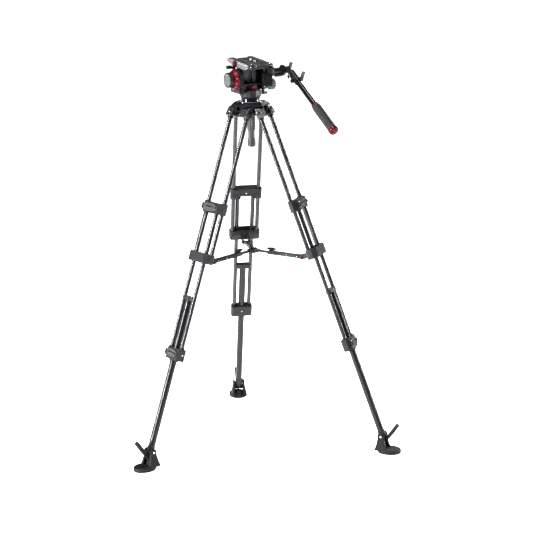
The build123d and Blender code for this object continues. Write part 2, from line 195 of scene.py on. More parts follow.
def finish_surface(name, colour, rough, metallic=0.0, grain=1400, relief=0.3, mottle=0.18, coat=0.0,
                   shine=0.3, edge_wear_and_highlight=None, stretch=None):
    """Painted, anodised, moulded or machined surface: mottled colour, uneven roughness and fine relief."""
    tree, shader = nodes_of(name)
    patches = noise(tree, 22, 5)
    base = blend_colour(tree, patches, rgba(colour, 1 - mottle), rgba(colour, 1 + mottle))
    smears = noise(tree, 75, 4)
    roughness = between(tree, smears, rough - 0.09, rough + 0.09, 0.3, 0.7)
    if edge_wear_and_highlight:
        # lighter patches on the edge faces: real rubbed wear, and also a painted highlight along the edges
        wear_and_highlight_mask = between(tree, noise(tree, 160, 4), 0, 1, 0.45, 0.6)
        base = blend_colour(tree, wear_and_highlight_mask, base, rgba(edge_wear_and_highlight))
    tree.links.new(base, shader.inputs["Base Color"])
    tree.links.new(roughness, shader.inputs["Roughness"])
    shader.inputs["Metallic"].default_value = metallic
    shader.inputs["Specular IOR Level"].default_value = shine
    shader.inputs["Coat Weight"].default_value = coat
    shader.inputs["Coat Roughness"].default_value = 0.12
    bump = add(tree, "ShaderNodeBump", Strength=relief, Distance=0.00025,
               Height=noise(tree, grain, 2, stretch))
    tree.links.new(bump.outputs[0], shader.inputs["Normal"])


def carbon(name, tows, turns, light):
    """Twisted carbon weave under clear resin, from UVs of one turn round by metres along.
    tows cross a ring of the tube, and turns of them pass in a metre of its length."""
    always_positive, strand_angle = 4000.0, 44.0
    tree, shader = nodes_of(name)
    op = partial(calc, tree)
    uv = add(tree, "ShaderNodeSeparateXYZ", Vector=tree.nodes.new("ShaderNodeUVMap").outputs[0])
    around = op("MULTIPLY", uv.outputs[0], float(tows))
    down = op("MULTIPLY", uv.outputs[1], float(turns))
    warp = op("ADD", around, down)
    weft = op("SUBTRACT", around, down)
    tow = op("ADD", op("FLOOR", warp), always_positive)
    over = op("GREATER_THAN", op("MODULO", tow, 2.0), 0.5)
    across = op("ADD", op("MULTIPLY", over, op("FRACT", warp)),
                  op("MULTIPLY", op("SUBTRACT", 1.0, over), op("FRACT", weft)))
    crown_of_tow = op("SINE", op("MULTIPLY", across, math.pi))
    strand = op("SINE", op("MULTIPLY", across, strand_angle))
    shade = op("ADD", op("MULTIPLY", over, 0.55), op("MULTIPLY", strand, 0.09))
    shade = op("MULTIPLY", shade, between(tree, noise(tree, 90, 3), 0.6, 1.3))
    base = blend_colour(tree, shade, (0.016, 0.016, 0.018, 1), (light, light, light * 1.04, 1))
    tree.links.new(base, shader.inputs["Base Color"])
    tree.links.new(between(tree, over, 0.4, 0.22), shader.inputs["Roughness"])
    shader.inputs["Metallic"].default_value = 0.75
    shader.inputs["Specular IOR Level"].default_value = 0.3
    shader.inputs["Coat Weight"].default_value = 0.15
    shader.inputs["Coat Roughness"].default_value = 0.06
    height = op("ADD", crown_of_tow, op("MULTIPLY", strand, 0.08))
    bump = add(tree, "ShaderNodeBump", Strength=0.35, Distance=0.0003, Height=height)
    tree.links.new(bump.outputs[0], shader.inputs["Normal"])


carbon("carbon_fine", 12, 260, 0.19)
carbon("carbon_wide", 22, 300, 0.1)
FINISHES = (  # name, colour, roughness, lighter edge colour for wear and a painted highlight, metallic, grain, relief, more
    ("crown_black", (0.011, 0.011, 0.012), 0.52, (0.1, 0.1, 0.105), 0.0, 1900, 0.3, dict(shine=0.2)),
    ("casting_grey", (0.036, 0.037, 0.039), 0.4, (0.26, 0.26, 0.27), 0.3, 1700, 0.35, {}),
    ("collar_grey", (0.024, 0.024, 0.026), 0.42, (0.15, 0.15, 0.155), 0.0, 1500, 0.4, {}),
    ("lever_grey", (0.085, 0.085, 0.088), 0.4, (0.32, 0.32, 0.33), 0.25, 1600, 0.25, {}),
    ("handle_grey", (0.055, 0.055, 0.057), 0.46, (0.15, 0.15, 0.155), 0.0, 1700, 0.35, {}),
    ("head_grey", (0.03, 0.0305, 0.032), 0.36, (0.26, 0.26, 0.27), 0.3, 1900, 0.3, {}),
    ("rail_grey", (0.12, 0.121, 0.125), 0.38, (0.42, 0.42, 0.43), 0.45, 1900, 0.25, {}),
    ("wall_grey", (0.115, 0.116, 0.12), 0.46, (0.32, 0.32, 0.33), 0.2, 1900, 0.2, {}),
    ("pale_grey", (0.36, 0.365, 0.375), 0.36, (0.66, 0.66, 0.67), 0.45, 1900, 0.2, {}),
    ("plate_grey", (0.06, 0.061, 0.064), 0.34, (0.4, 0.4, 0.41), 0.5, 2400, 0.2, {}),
    ("gloss_black", (0.006, 0.006, 0.007), 0.2, (0.05, 0.05, 0.055), 0.0, 900, 0.05, dict(coat=0.5)),
    ("satin_black", (0.011, 0.011, 0.012), 0.32, (0.08, 0.08, 0.085), 0.0, 1800, 0.25, {}),
    ("red", (0.11, 0.003, 0.009), 0.36, (0.34, 0.04, 0.045), 0.3, 1500, 0.15, {}),
    ("dark_red", (0.07, 0.003, 0.011), 0.34, (0.26, 0.04, 0.045), 0.3, 1500, 0.2, {}),
    ("steel", (0.56, 0.56, 0.57), 0.24, (0.8, 0.8, 0.8), 1.0, 1100, 0.16, dict(stretch=(1, 1, 9))),
    ("rubber_black", (0.012, 0.012, 0.012), 0.6, (0.045, 0.045, 0.045), 0.0, 800, 0.7, dict(mottle=0.3)),
    ("rubber_grey", (0.028, 0.028, 0.029), 0.6, (0.07, 0.07, 0.07), 0.0, 900, 0.6, dict(mottle=0.25)),
    ("mark_white", (0.72, 0.72, 0.7), 0.5, (0.8, 0.8, 0.78), 0.0, 1500, 0.15, dict(mottle=0.06)),
)
for name, colour, rough, edge_wear_and_highlight, metallic, grain, relief, more in FINISHES:
    finish_surface(name, colour, rough, metallic, grain, relief, **more)
    # the edge version: lighter where handling has rubbed it, and a painted highlight along every edge
    finish_surface(name + "_edge", colour, rough - 0.06, metallic, grain, relief, edge_wear_and_highlight=edge_wear_and_highlight, **more)


# ---- shapes, as bmesh in millimetres

def circle(radius, steps, centre=(0.0, 0.0), start=0.0, end=360.0):
    """Points of an arc. A full circle leaves out its last point, which is its first."""
    full = end - start >= 360
    count = steps if full else steps - 1
    angles = [math.radians(start + (end - start) * i / count) for i in range(steps)]
    return [(centre[0] + radius * math.cos(a), centre[1] + radius * math.sin(a)) for a in angles]


def hull(first, r1, second, r2):
    """Outline round two circles."""
    (x1, y1), (x2, y2) = first, second
    heading = math.degrees(math.atan2(y2 - y1, x2 - x1))
    lean = math.degrees(math.acos((r1 - r2) / math.hypot(x2 - x1, y2 - y1)))
    return (circle(r2, 12, second, heading - lean, heading + lean)
            + circle(r1, 12, first, heading + lean, heading + 360 - lean))


def rounded(corners, radius, steps=5):
    """An outline with every corner turned into an arc."""
    made = []
    for i, corner in enumerate(corners):
        here = Vector(corner)
        before = Vector(corners[i - 1]) - here
        after = Vector(corners[(i + 1) % len(corners)]) - here
        reach = min(radius, before.length * 0.45, after.length * 0.45)
        start = here + before.normalized() * reach
        end = here + after.normalized() * reach
        for k in range(steps):
            t = k / (steps - 1)
            spot = start * (1 - t) ** 2 + here * 2 * t * (1 - t) + end * t * t
            made.append((spot.x, spot.y))
    return made


def round_edges(bm, width, segments):
    """Bevel every edge sharper than 30 degrees. The new faces take the edge material, lighter for wear and
    for a painted highlight.
    """
    sharp = [e for e in bm.edges if len(e.link_faces) == 2 and e.calc_face_angle(0) > math.radians(30)]
    bmesh.ops.bevel(bm, geom=sharp, offset=width, offset_type="OFFSET", segments=segments, profile=0.5,
                    affect="EDGES", clamp_overlap=True, material=1)


def loft(loops, bevel=0.0, segments=2, closed=False):
    """Skin over loops of equal length, capped at both ends unless it closes on itself."""
    bm = bmesh.new()
    rows = [[bm.verts.new(p) for p in loop] for loop in loops]
    count = len(rows[0])
    pairs = list(zip(rows, rows[1:])) + ([(rows[-1], rows[0])] if closed else [])
    for low, high in pairs:
        for i in range(count):
            k = (i + 1) % count
            bm.faces.new((low[i], low[k], high[k], high[i]))
    if not closed:
        bm.faces.new(rows[0])
        bm.faces.new(rows[-1])
    bmesh.ops.recalc_face_normals(bm, faces=bm.faces)
    if bevel:
        round_edges(bm, bevel, segments)
    return bm


def prism(direction, outline, limits, bevel=0.0, segments=2):
    """An outline in the two other axes, in their order, extruded along x, y or z."""
    order = {"x": (2, 0, 1), "y": (0, 2, 1), "z": (0, 1, 2)}[direction]
    loops = [[[(a, b, c)[k] for k in order] for a, b in outline] for c in limits]
    return loft(loops, bevel, segments)


def brick(x, y, z, bevel=0.8, segments=2):
    """A bevelled block between three pairs of limits."""
    outline = [(x[0], y[0]), (x[1], y[0]), (x[1], y[1]), (x[0], y[1])]
    return prism("z", outline, z, bevel, segments)


def lathe(profile, steps=48, ripple=None):
    """Turned shape about Z. Points are (radius, height) or (radius, height, share of the ripple).
    A profile that starts on the axis ends there; any other closes on itself as a ring."""
    bm = bmesh.new()
    rows = []
    for item in profile:
        radius, z = item[0], item[1]
        if radius == 0:
            rows.append([bm.verts.new((0, 0, z))])
            continue
        share = item[2] if len(item) > 2 else 0.0
        row = []
        for i in range(steps):
            a = math.tau * i / steps
            r = radius + (share * ripple(a) if share else 0.0)
            row.append(bm.verts.new((r * math.cos(a), r * math.sin(a), z)))
        rows.append(row)
    pairs = list(zip(rows, rows[1:]))
    if profile[0][0] != 0:
        pairs.append((rows[-1], rows[0]))
    for low, high in pairs:
        for i in range(steps):
            k = (i + 1) % steps
            if len(low) == 1:
                bm.faces.new((low[0], high[k], high[i]))
            elif len(high) == 1:
                bm.faces.new((low[i], low[k], high[0]))
            else:
                bm.faces.new((low[i], low[k], high[k], high[i]))
    bmesh.ops.recalc_face_normals(bm, faces=bm.faces)
    return bm


def flutes(count):
    """Rounded grooves: 0 on the ridges and -1 in the grooves."""
    return lambda a: (math.cos(count * a) - 1) / 2


def facets(count, radius):
    """Turns a circle of that radius into a polygon with the corners on the circle."""
    step = math.tau / count
    inner = radius * math.cos(step / 2)
    return lambda a: inner / math.cos((a % step) - step / 2) - radius


def pipe(outer, inner, low, high, x, y=0.0, steps=40):
    """A tube with UVs: one turn round by metres along."""
    bm = lathe([(outer, low), (outer, high), (inner, high), (inner, low)], steps)
    layer = bm.loops.layers.uv.new("UVMap")
    for face in bm.faces:
        middle = face.calc_center_median()
        turn = math.atan2(middle.y, middle.x) / math.tau
        for corner in face.loops:
            spot = corner.vert.co
            own = math.atan2(spot.y, spot.x) / math.tau
            own += round(turn - own)
            corner[layer].uv = (own, spot.z * 0.001)
    return put(bm, Matrix.Translation((x, y, 0)))


def screw(radius, height):
    """Button-head screw standing on z = 0, with a hexagon socket."""
    socket = radius * 0.5
    profile = [(0, 0), (radius, 0), (radius, height * 0.55), (radius * 0.86, height),
               (socket, height, 1), (socket, height * 0.35, 1), (0, height * 0.3)]
    return lathe(profile, 24, facets(6, socket))


def sweep(spots, section, up):
    """A section of (side, up) points carried along a line of points."""
    spots = [Vector(s) for s in spots]
    loops = []
    for i, spot in enumerate(spots):
        ahead = (spots[min(i + 1, len(spots) - 1)] - spots[max(i - 1, 0)]).normalized()
        side = ahead.cross(Vector(up)).normalized()
        rise = side.cross(ahead)
        loops.append([spot + side * a + rise * b for a, b in section])
    return loft(loops)


def put(bm, matrix):
    """Move a shape, and return it."""
    bm.transform(matrix)
    return bm


def shift(bm, x=0.0, y=0.0, z=0.0):
    """Slide a shape along its axes, and return it."""
    return put(bm, Matrix.Translation((x, y, z)))


def facing(direction, spot):
    """The matrix that stands a shape's Z along a direction, from a spot."""
    turn = Vector(direction).to_track_quat("Z", "Y").to_matrix().to_4x4()
    return Matrix.Translation(spot) @ turn


def bolt(radius, height, direction, spot):
    """A screw head on a spot, facing a direction."""
    return put(screw(radius, height), facing(direction, spot))


def turned(profile, direction, spot=(0, 0, 0), steps=36, ripple=None):
    """A turned shape with its axis along a direction, from a spot."""
    return put(lathe(profile, steps, ripple), facing(direction, spot))


def merge(*shapes):
    """Several shapes as one."""
    whole = bmesh.new()
    for shape in shapes:
        scrap = bpy.data.meshes.new("scrap")
        shape.to_mesh(scrap)
        whole.from_mesh(scrap)
        shape.free()
        bpy.data.meshes.remove(scrap)
    return whole


def both(make):
    """The shape at +x and its mirror at -x."""
    other = put(make(), Matrix.Scale(-1, 4, (1, 0, 0)))
    bmesh.ops.reverse_faces(other, faces=other.faces)
    return merge(make(), other)


# ---- pieces

def even_shading(obj):
    """Flat faces stay flat and bevels stay soft."""
    weighted = obj.modifiers.new("shading", "WEIGHTED_NORMAL")
    weighted.keep_sharp = True


def piece(place, body, name, shape, slot, paint=None, *stands_for):
    """File a shape, or a list of them as one, as a piece that rides on a body and stands for CAD nodes."""
    if isinstance(shape, list):
        shape = merge(*shape)
    paint = paint or slot
    mesh = bpy.data.meshes.new(name)
    shape.to_mesh(mesh)
    shape.free()
    mesh.transform(place)
    mesh.materials.append(MATERIALS[paint])
    mesh.materials.append(MATERIALS.get(paint + "_edge", MATERIALS[paint]))
    mesh.shade_smooth()
    mesh.set_sharp_from_angle(angle=math.radians(42))
    obj = bpy.data.objects.new(name, mesh)
    bpy.context.scene.collection.objects.link(obj)
    even_shading(obj)
    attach(obj, body)
    if stands_for:
        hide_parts(*stands_for)


def dress(node, paint, width=0.8, segments=2):
    """Give a CAD node its finish and rounded edges."""
    obj = frame["nodes"][node]
    obj.data.materials.clear()
    obj.data.materials.append(MATERIALS[paint])
    obj.data.materials.append(MATERIALS[paint + "_edge"])
    weld = obj.modifiers.new("weld", "WELD")
    weld.merge_threshold = 0.00002
    bevel = obj.modifiers.new("bevel", "BEVEL")
    bevel.width = width * 0.001
    bevel.segments = segments
    bevel.limit_method = "ANGLE"
    bevel.angle_limit = math.radians(32)
    # the bevel faces take the edge material: wear with a painted highlight
    bevel.material = 1
    even_shading(obj)


def trimmed(node, place, cuts, bevel):
    """A CAD node's shape in place's axes with corners cut off on both sides. A cut is a point and an
    outward normal on the +x side, and the limits along z that it works between."""
    source = frame["nodes"][node]
    bm = bmesh.new()
    bm.from_mesh(source.data)
    put(bm, place.inverted() @ source.matrix_world)
    bmesh.ops.remove_doubles(bm, verts=bm.verts, dist=0.02)
    for side in (-1, 1):
        mirror = Matrix.Diagonal((side, 1, 1))
        for spot, normal, low, high in cuts:
            faces = [f for f in bm.faces if low < f.calc_center_median().z < high]
            edges = dict.fromkeys(e for f in faces for e in f.edges)
            verts = dict.fromkeys(v for f in faces for v in f.verts)
            made = bmesh.ops.bisect_plane(bm, geom=[*faces, *edges, *verts], plane_co=mirror @ Vector(spot),
                                          plane_no=mirror @ Vector(normal), clear_outer=True)
            rim = [e for e in made["geom_cut"] if isinstance(e, bmesh.types.BMEdge)]
            bmesh.ops.edgenet_fill(bm, edges=rim)
    bmesh.ops.dissolve_limit(bm, angle_limit=math.radians(1), verts=bm.verts, edges=bm.edges)
    bmesh.ops.recalc_face_normals(bm, faces=bm.faces)
    round_edges(bm, bevel, 3)
    return bm


def ray_loop(edges, z):
    """A convex outline seen from the axis, sampled by angle. Edges are (distance, direction in degrees)."""
    loop = []
    for x, y in circle(1.0, 96):
        leans = [(d, x * math.cos(math.radians(t)) + y * math.sin(math.radians(t))) for d, t in edges]
        reach = min(d / lean for d, lean in leans if lean > 0.1)
        loop.append((reach * x, reach * y, z))
    return loop


# ---- legs

def clamp_lever(reach):
    """Lens-shaped lever: rim, sunk pocket and rib. Outline in x and z, outward along y from 0."""
    def edge(half, swell):
        """One long side of the lens, from the thumb end to the hinge."""
        steps = [reach * (i / 10 - 1) for i in range(21)]
        return [(x, half * (1 - (x / reach) ** 4) + swell * (x / reach + 1)) for x in steps]

    outline = edge(13.5, 1) + edge(-13.5, -2)[:0:-1]

    def ring(scale, y, lift=0):
        return [(x * scale, y + lift * (1 - (x / reach) ** 2), 0.5 + (z - 0.5) * scale) for x, z in outline]

    blade = loft([ring(0.97, 0), ring(1, 0.8), ring(1, 3.2, 1), ring(0.95, 4.6, 1),
                  ring(0.8, 4.6, 1), ring(0.77, 2.4, 0.6)])
    thumb, hinge = -reach * 0.5, reach * 0.55
    rib = rounded([(thumb, -4.6), (hinge, -5.6), (hinge, -2.4), (thumb, -1.8)], 1.2)
    return merge(blade, prism("y", rib, (2, 5.4), 0.5))


def lever_slot(reach):
    """Dark window in the lever's pocket."""
    thumb, hinge = -reach * 0.5, reach * 0.56
    outline = rounded([(thumb, 0.4), (hinge, -0.4), (hinge, 5.4), (thumb, 4)], 2)
    return prism("y", outline, (2.6, 4.1), 0.4)


def build_levers(leg, place):
    """Both clamp levers of a leg: blade, dark slot, ribbed thumb end, hinge barrel and pin."""
    for which, (reach, outward, along) in (("upper", UPPER_LEVER), ("lower", LOWER_LEVER)):
        at = place @ Matrix.Translation((0, outward, along))
        hinge = at @ Matrix.Translation((reach - 2, 4.5, 0))
        body = f"{leg}_{which}_lever"
        fit, fit_hinge = partial(piece, at, body), partial(piece, hinge, body)
        ridges = []
        for k in range(4):
            left = 2.4 + 2.2 * k - reach
            ridges.append(brick((left, left + 1.2), (3.6, 6 + 0.2 * k), (-2.4 - 0.6 * k, 2.6 + 0.7 * k),
                                0.4))
        barrel = lathe([(0, -9), (3.6, -9), (4.5, -8), (4.5, -3.2), (4, -3), (4, 3), (4.5, 3.2), (4.5, 8),
                        (3.6, 9), (0, 9)], 28)
        pin = merge(shift(screw(2.2, 1.4), z=9), bolt(2.2, 1.4, DOWN, (0, 0, -9)))
        fit(f"{body}_blade", clamp_lever(reach), "lever", "lever_grey", body)
        fit(f"{body}_slot", lever_slot(reach), "collar", "satin_black")
        fit(f"{body}_thumb", ridges, "rubber", "rubber_black")
        fit_hinge(f"{body}_barrel", barrel, "collar", "collar_grey")
        fit_hinge(f"{body}_pin", pin, "steel")


def build_tubes(leg, place):
    """The three stages of carbon tube, and the guide block on the lowest."""
    fit = partial(piece, place, f"{leg}_lower")
    upper = both(lambda: pipe(TUBE_R, TUBE_BORE_R, -586, -14.1, OUTER_X))
    middle = both(lambda: pipe(TUBE_R, TUBE_BORE_R, -955.9, -360.1, INNER_X, INNER_N))
    lower = pipe(EXTENSION_R, EXTENSION_BORE_R, EXTENSION_END, -734, 0, INNER_N, 56)
    piece(place, leg, f"{leg}_upper_pair", upper, "carbon", "carbon_fine", f"{leg}_upper_tubes")
    piece(place, f"{leg}_middle", f"{leg}_middle_pair", middle, "carbon", "carbon_fine",
          f"{leg}_middle_tubes")
    fit(f"{leg}_lower_tube", lower, "carbon", "carbon_wide", f"{leg}_extension")
    half, front, back = 28.3, INNER_N - 11.8, INNER_N + 11.8
    bite = [(x, INNER_N + y) for x, y in circle(8.5, 14, (INNER_X, 0), 104, 256)]
    other_bite = [(-x, y) for x, y in reversed(bite)]
    outline = [(half, back), *bite, (half, front), (-half, front), *other_bite, (-half, back)]
    guide = prism("z", outline, (-733.9, -718), 0.9)
    boss = turned([(0, 0), (7.5, 0), (7.5, 1.2), (6, 2.4), (0, 2.9)], FRONT, (0, front, -726), 28)
    fit(f"{leg}_guide", [guide, boss], "collar", "collar_grey")
    fit(f"{leg}_guide_screw", bolt(3.2, 1.8, BACK, (0, back, -726)), "steel")


def build_collars(leg, place):
    """The two clamps of the middle stage, with their sleeves, bands, ears and screws."""
    fit = partial(piece, place, f"{leg}_middle")
    cuts = [((42, 24, 0), (0.69, 0.72, 0), -600, 0), ((57, -12, 0), (0.7, -0.7, 0), -600, 0),
            ((31, INNER_N + 18, 0), (0.7, 0.7, 0), -1200, -600),
            ((37, INNER_N - 18, 0), (0.7, -0.7, 0), -1200, -600)]
    clamps = trimmed(f"{leg}_collars", place, cuts, 1.4)
    fit(f"{leg}_clamps", clamps, "collar", "collar_grey", f"{leg}_collars")
    sleeve = [(8.4, -354.5), (11.2, -354.5), (12, -353.8), (12, -351.8), (11, -351), (8.4, -351)]
    sleeves = both(lambda: shift(lathe(sleeve, 36), x=OUTER_X))
    band = brick((-60.5, 60.5), (-12.8, -11), (-378.4, -375), 0.6)
    tab = rounded([(23, -391), (37, -391), (34, -383), (26, -383)], 2)
    tabs = both(lambda: prism("y", tab, (-12.8, -11.2), 0.6))
    fit(f"{leg}_collar_trim", [sleeves, band, tabs], "collar", "satin_black")
    sleeve = [(8.3, -919.5), (10.6, -919.5), (11.4, -918.6), (11.4, -916), (10.4, -915), (8.3, -915)]
    sleeves = both(lambda: shift(lathe(sleeve, 36), x=INNER_X, y=INNER_N))
    tail = lathe([(13.4, -972), (16.4, -972), (17.6, -970), (17.6, -964.5), (13.4, -964.5)], 44)
    fit(f"{leg}_clamp_trim", [sleeves, shift(tail, y=INNER_N)], "collar", "satin_black")
    ears = [brick((38.5, 46), (16, 32.5), (z, z + 2.3), 0.8) for z in (-364.5, -387.8)]
    ears += [brick((27.5, 35), (24, 37.5), (z, z + 2.2), 0.8) for z in (-930.3, -953.9)]
    fit(f"{leg}_hinge_ears", ears, "collar", "collar_grey")
    screws = merge(bolt(3.4, 2.2, FRONT, (0, -11.2, -371)),
                   bolt(3.6, 2.2, FRONT, (0, INNER_N - 15.8, -941)), bolt(3, 2, LEFT, (-43, INNER_N, -941)))
    fit(f"{leg}_collar_screws", screws, "steel")


def build_bracket(leg, place):
    """Spreader bracket: arched bar, window, pivot bolts and their red washers."""
    cuts = [((45, 30, 0), (0.72, 0.69, 0), -900, 0), ((56, -11, 0), (0.7, -0.7, 0), -900, 0),
            ((61, 0, -581), (0.6, 0, -0.8), -900, 0)]
    bracket = f"{leg}_bracket"
    fit = partial(piece, place, leg)
    fit(f"{bracket}_frame", trimmed(bracket, place, cuts, 1.2), "casting", "casting_grey", bracket)
    arch = [(7 * i, -556 + 7.5 * (1 - (i / 8) ** 2)) for i in range(-8, 9)]
    bar = prism("y", rounded([*arch, (56, -563), (-56, -563)], 1, 2), (-13.4, -10.6), 0.8)
    sill = brick((-24, 24), (-13, -10.6), (-584, -580), 0.8)
    fit(f"{bracket}_bar", [bar, sill], "casting", "satin_black")
    window = prism("y", rounded([(-13, -578), (13, -578), (13, -566), (-13, -566)], 3), (-11.7, -10.8), 0.3)
    fit(f"{bracket}_window", window, "casting", "crown_black")
    washer = [(3, 0), (7.4, 0), (7.4, 1), (6.8, 1.5), (3, 1.5)]
    washers, bolts = [], []
    for side in (-1, 1):
        out = (side, 0, 0)
        washers.append(turned(washer, out, (14 * side, *LUG), 32))
        bolts.append(bolt(4.6, 3.2, out, (15 * side, *LUG)))
        bolts.append(bolt(2.8, 1.8, BACK, (38 * side, 29.8, -567)))
        bolts.append(bolt(2.8, 1.8, out, (60.8 * side, 4, -567)))
    fit(f"{leg}_pivot_washers", washers, "red_trim", "dark_red")
    fit(f"{leg}_pivot_bolts", bolts, "steel", "casting_grey")


def build_hip(leg, place):
    """Hip casting: shoulders, tube sleeves, axle caps, and one bolt on a red washer."""
    dress(f"{leg}_hip", "casting_grey", 1.6, 3)
    fit = partial(piece, place, leg)
    sleeve = [(8.2, -29.5), (10.6, -29.5), (11.6, -28), (11.6, -19.5), (8.2, -19.5)]
    sleeves = both(lambda: shift(lathe(sleeve, 36), x=OUTER_X))
    brow = prism("z", rounded([(-24, 12.2), (24, 12.2), (20, 17.2), (-20, 17.2)], 1.5), (-20.6, -15), 0.6)
    fit(f"{leg}_hip_trim", [sleeves, brow], "casting", "satin_black")
    flank = rounded([(-9, -21), (-9, 17), (3, 18.5), (12, 11), (18.5, -21)], 2.5)
    shoulders = both(lambda: prism("x", flank, (24.5, 60.4), 1.4, 3))
    fit(f"{leg}_hip_shoulders", shoulders, "casting", "casting_grey")
    seat = (-42 if leg == "leg_right" else 42, 15.2, -5)
    outward = (0, 0.98, 0.2)
    washer = turned([(4, 0), (8.4, 0), (8.4, 1.2), (7.8, 1.8), (4, 1.8)], outward, seat)
    cap = [(0, 0), (8, 0), (8, 1), (7, 1.8), (0, 2)]
    caps = [turned(cap, (side, 0, 0), (60.1 * side, 0, 0)) for side in (-1, 1)]
    fit(f"{leg}_hip_washer", washer, "red_trim", "red")
    fit(f"{leg}_hip_bolt", bolt(6.2, 3.8, outward, seat), "steel")
    fit(f"{leg}_axle_caps", caps, "casting", "satin_black")


def build_end(leg, place):
    """End fitting of the lower tube: turned collar, pin and spike."""
    top = EXTENSION_END
    profile = [(0, top + 20), (11, top + 20), (11, top + 1), (13.2, top + 1), (14.5, top), (14.5, top - 7),
               (13.7, top - 7.6), (13.7, top - 9), (14.5, top - 9.6), (14.5, top - 29), (13, top - 32),
               (8, top - 32.2), (7.4, top - 34), (2.2, top - 54), (0.8, top - 57.5), (0, top - 58)]
    pin = turned([(0, -25), (3.1, -25), (3.5, -24.4), (3.5, 24.4), (3.1, 25), (0, 25)], RIGHT, steps=24)
    shape = shift(merge(lathe(profile), shift(pin, z=top - 20)), y=INNER_N)
    piece(place, f"{leg}_lower", f"{leg}_end_fitting", shape, "fitting", "casting_grey", f"{leg}_end")


def bell_arm(pivot):
    """Sections of the shoe cradle's right arm, wide at the pad and narrow at the pin."""
    loops = []
    for x, z, thick, deep in ((25.5, 12, 7, 25), (25, 22, 6, 21), (24, 34, 5, 17.5), (22.3, 46, 4.3, 15),
                              (20.8, 56, 4, 13.5), (20.2, 66, 4.2, 13.5), (20, 73, 4, 12),
                              (20, 77.5, 3, 8)):
        outline = rounded([(-thick, -deep), (thick, -deep), (thick, deep), (-thick, deep)], 3, 4)
        loops.append([(x + a, pivot.y + b, z) for a, b in outline])
    return loops


def build_shoe(leg):
    """Rubber shoe: ribbed oval pad, bell-shaped cradle, pins and pull strap."""
    place = FOOT[leg]
    body = f"{leg}_shoe"
    fit = partial(piece, place, body)
    pivot = place.inverted() @ point(f"{leg}_shoe_swing")

    def oval(scale, z):
        return [(36.9 * x, SHOE_Y + 45.8 * y, z) for x, y in circle(scale, 72)]

    sides = ((0.86, 1.2), (0.9, 0), (0.96, 0), (1, 2.2), (1, 5), (0.985, 5.8), (0.985, 7.2), (1, 8),
             (1, 11.5), (0.96, 14.6), (0.88, 16), (0.66, 16), (0.6, 14.5))
    pad = [loft([oval(scale, z) for scale, z in sides])]
    for y in (-31, -18.6, -6.2, 6.2, 18.6, 31):
        half = 33 * math.sqrt(1 - (y / 44) ** 2) - 3
        pad.append(brick((-half, half), (SHOE_Y + y - 2.5, SHOE_Y + y + 2.5), (0.2, 2.4), 0.5))
    fit(f"{body}_pad", pad, "rubber", "rubber_black", body)
    arms = both(lambda: loft(bell_arm(pivot)))
    saddle = loft([
        [(x * w, pivot.y + y * w * 0.55, z) for x, y in circle(1, 40)]
        for w, z in ((27, 13.5), (25.5, 18), (21, 24), (17.5, 30), (16.6, 33), (13.5, 33), (12, 28),
                     (11, 24))
    ])
    fit(f"{body}_cradle", [arms, saddle], "rubber", "rubber_black")
    pins = [bolt(4.6, 2.4, (side, 0, 0), (23 * side, pivot.y, pivot.z)) for side in (-1, 1)]
    fit(f"{body}_pins", pins, "steel")
    line = [(0, 524, 44), (0, 534, 54), (0, 545, 67), (0, 556, 81), (0, 567, 97), (0, 578, 113)]
    strap = sweep(line, rounded([(-9, -7.5), (9, -7.5), (9, 7.5), (-9, 7.5)], 4), (0, 1, 0.1))
    bridge = brick((-21, 21), (pivot.y + 5, pivot.y + 13), (pivot.z - 30, pivot.z - 12), 3, 3)
    fit(f"{body}_strap", [strap, bridge], "rubber", "rubber_black")


# ---- spreader

def build_arm(leg, side):
    """A spreader arm: notched inner bar, channel with a clamp, and fork on the leg's bracket."""
    body, place = f"spreader_arm_{side}", ARM[side]
    fit = partial(piece, place, body)
    far = (place.inverted() @ (LEG[leg] @ Vector((0, *LUG)))).y
    eye = turned([(0, -8), (5.4, -8), (6, -7.4), (6, 7.4), (5.4, 8), (0, 8)], RIGHT, steps=32)
    bar = brick((-5, 5), (-1, 74), (-4, 4), 0.9)
    notches = merge(*[brick((-3.4, 3.4), (12 + 4 * k, 13.6 + 4 * k), (3.8, 4.5), 0.25) for k in range(8)])
    fit(f"{body}_bar", [eye, bar, notches], "arm", "head_grey", body)
    section = [(-8, -6.5), (-6.2, -6.5), (-6.2, 4.7), (6.2, 4.7), (6.2, -6.5), (8, -6.5), (8, 5.6),
               (7, 6.5), (3.2, 6.5), (2.6, 5.9), (-2.6, 5.9), (-3.2, 6.5), (-7, 6.5), (-8, 5.6)]
    channel = prism("y", section, (44, far - 6))
    webs = merge(*[brick((-7, 7), (y, y + 4), (-5.5, 5), 0.4) for y in (66, 118)])
    clamp = brick((-8.8, 8.8), (45, 67), (-7.3, 7.3), 1.4, 3)
    fit(f"{body}_channel", [channel, webs, clamp], "arm", "casting_grey")
    fork = both(lambda: prism("x", hull((far - 22, 0), 6.2, (far, 0), 7.6), (6.2, 9.6), 0.8))
    core = turned([(0, -9), (5.2, -9), (5.2, 9), (0, 9)], RIGHT, (0, far, 0), 28)
    fit(f"{body}_fork", [fork, core], "arm", "satin_black")
    rivets = [bolt(2.2, 1, (s, 0, 0), (9.5 * s, far - 20, 0)) for s in (-1, 1)]
    rivets += [bolt(2, 0.9, (s, 0, 0), (8 * s, 120, 0)) for s in (-1, 1)]
    fit(f"{body}_rivets", rivets, "steel")


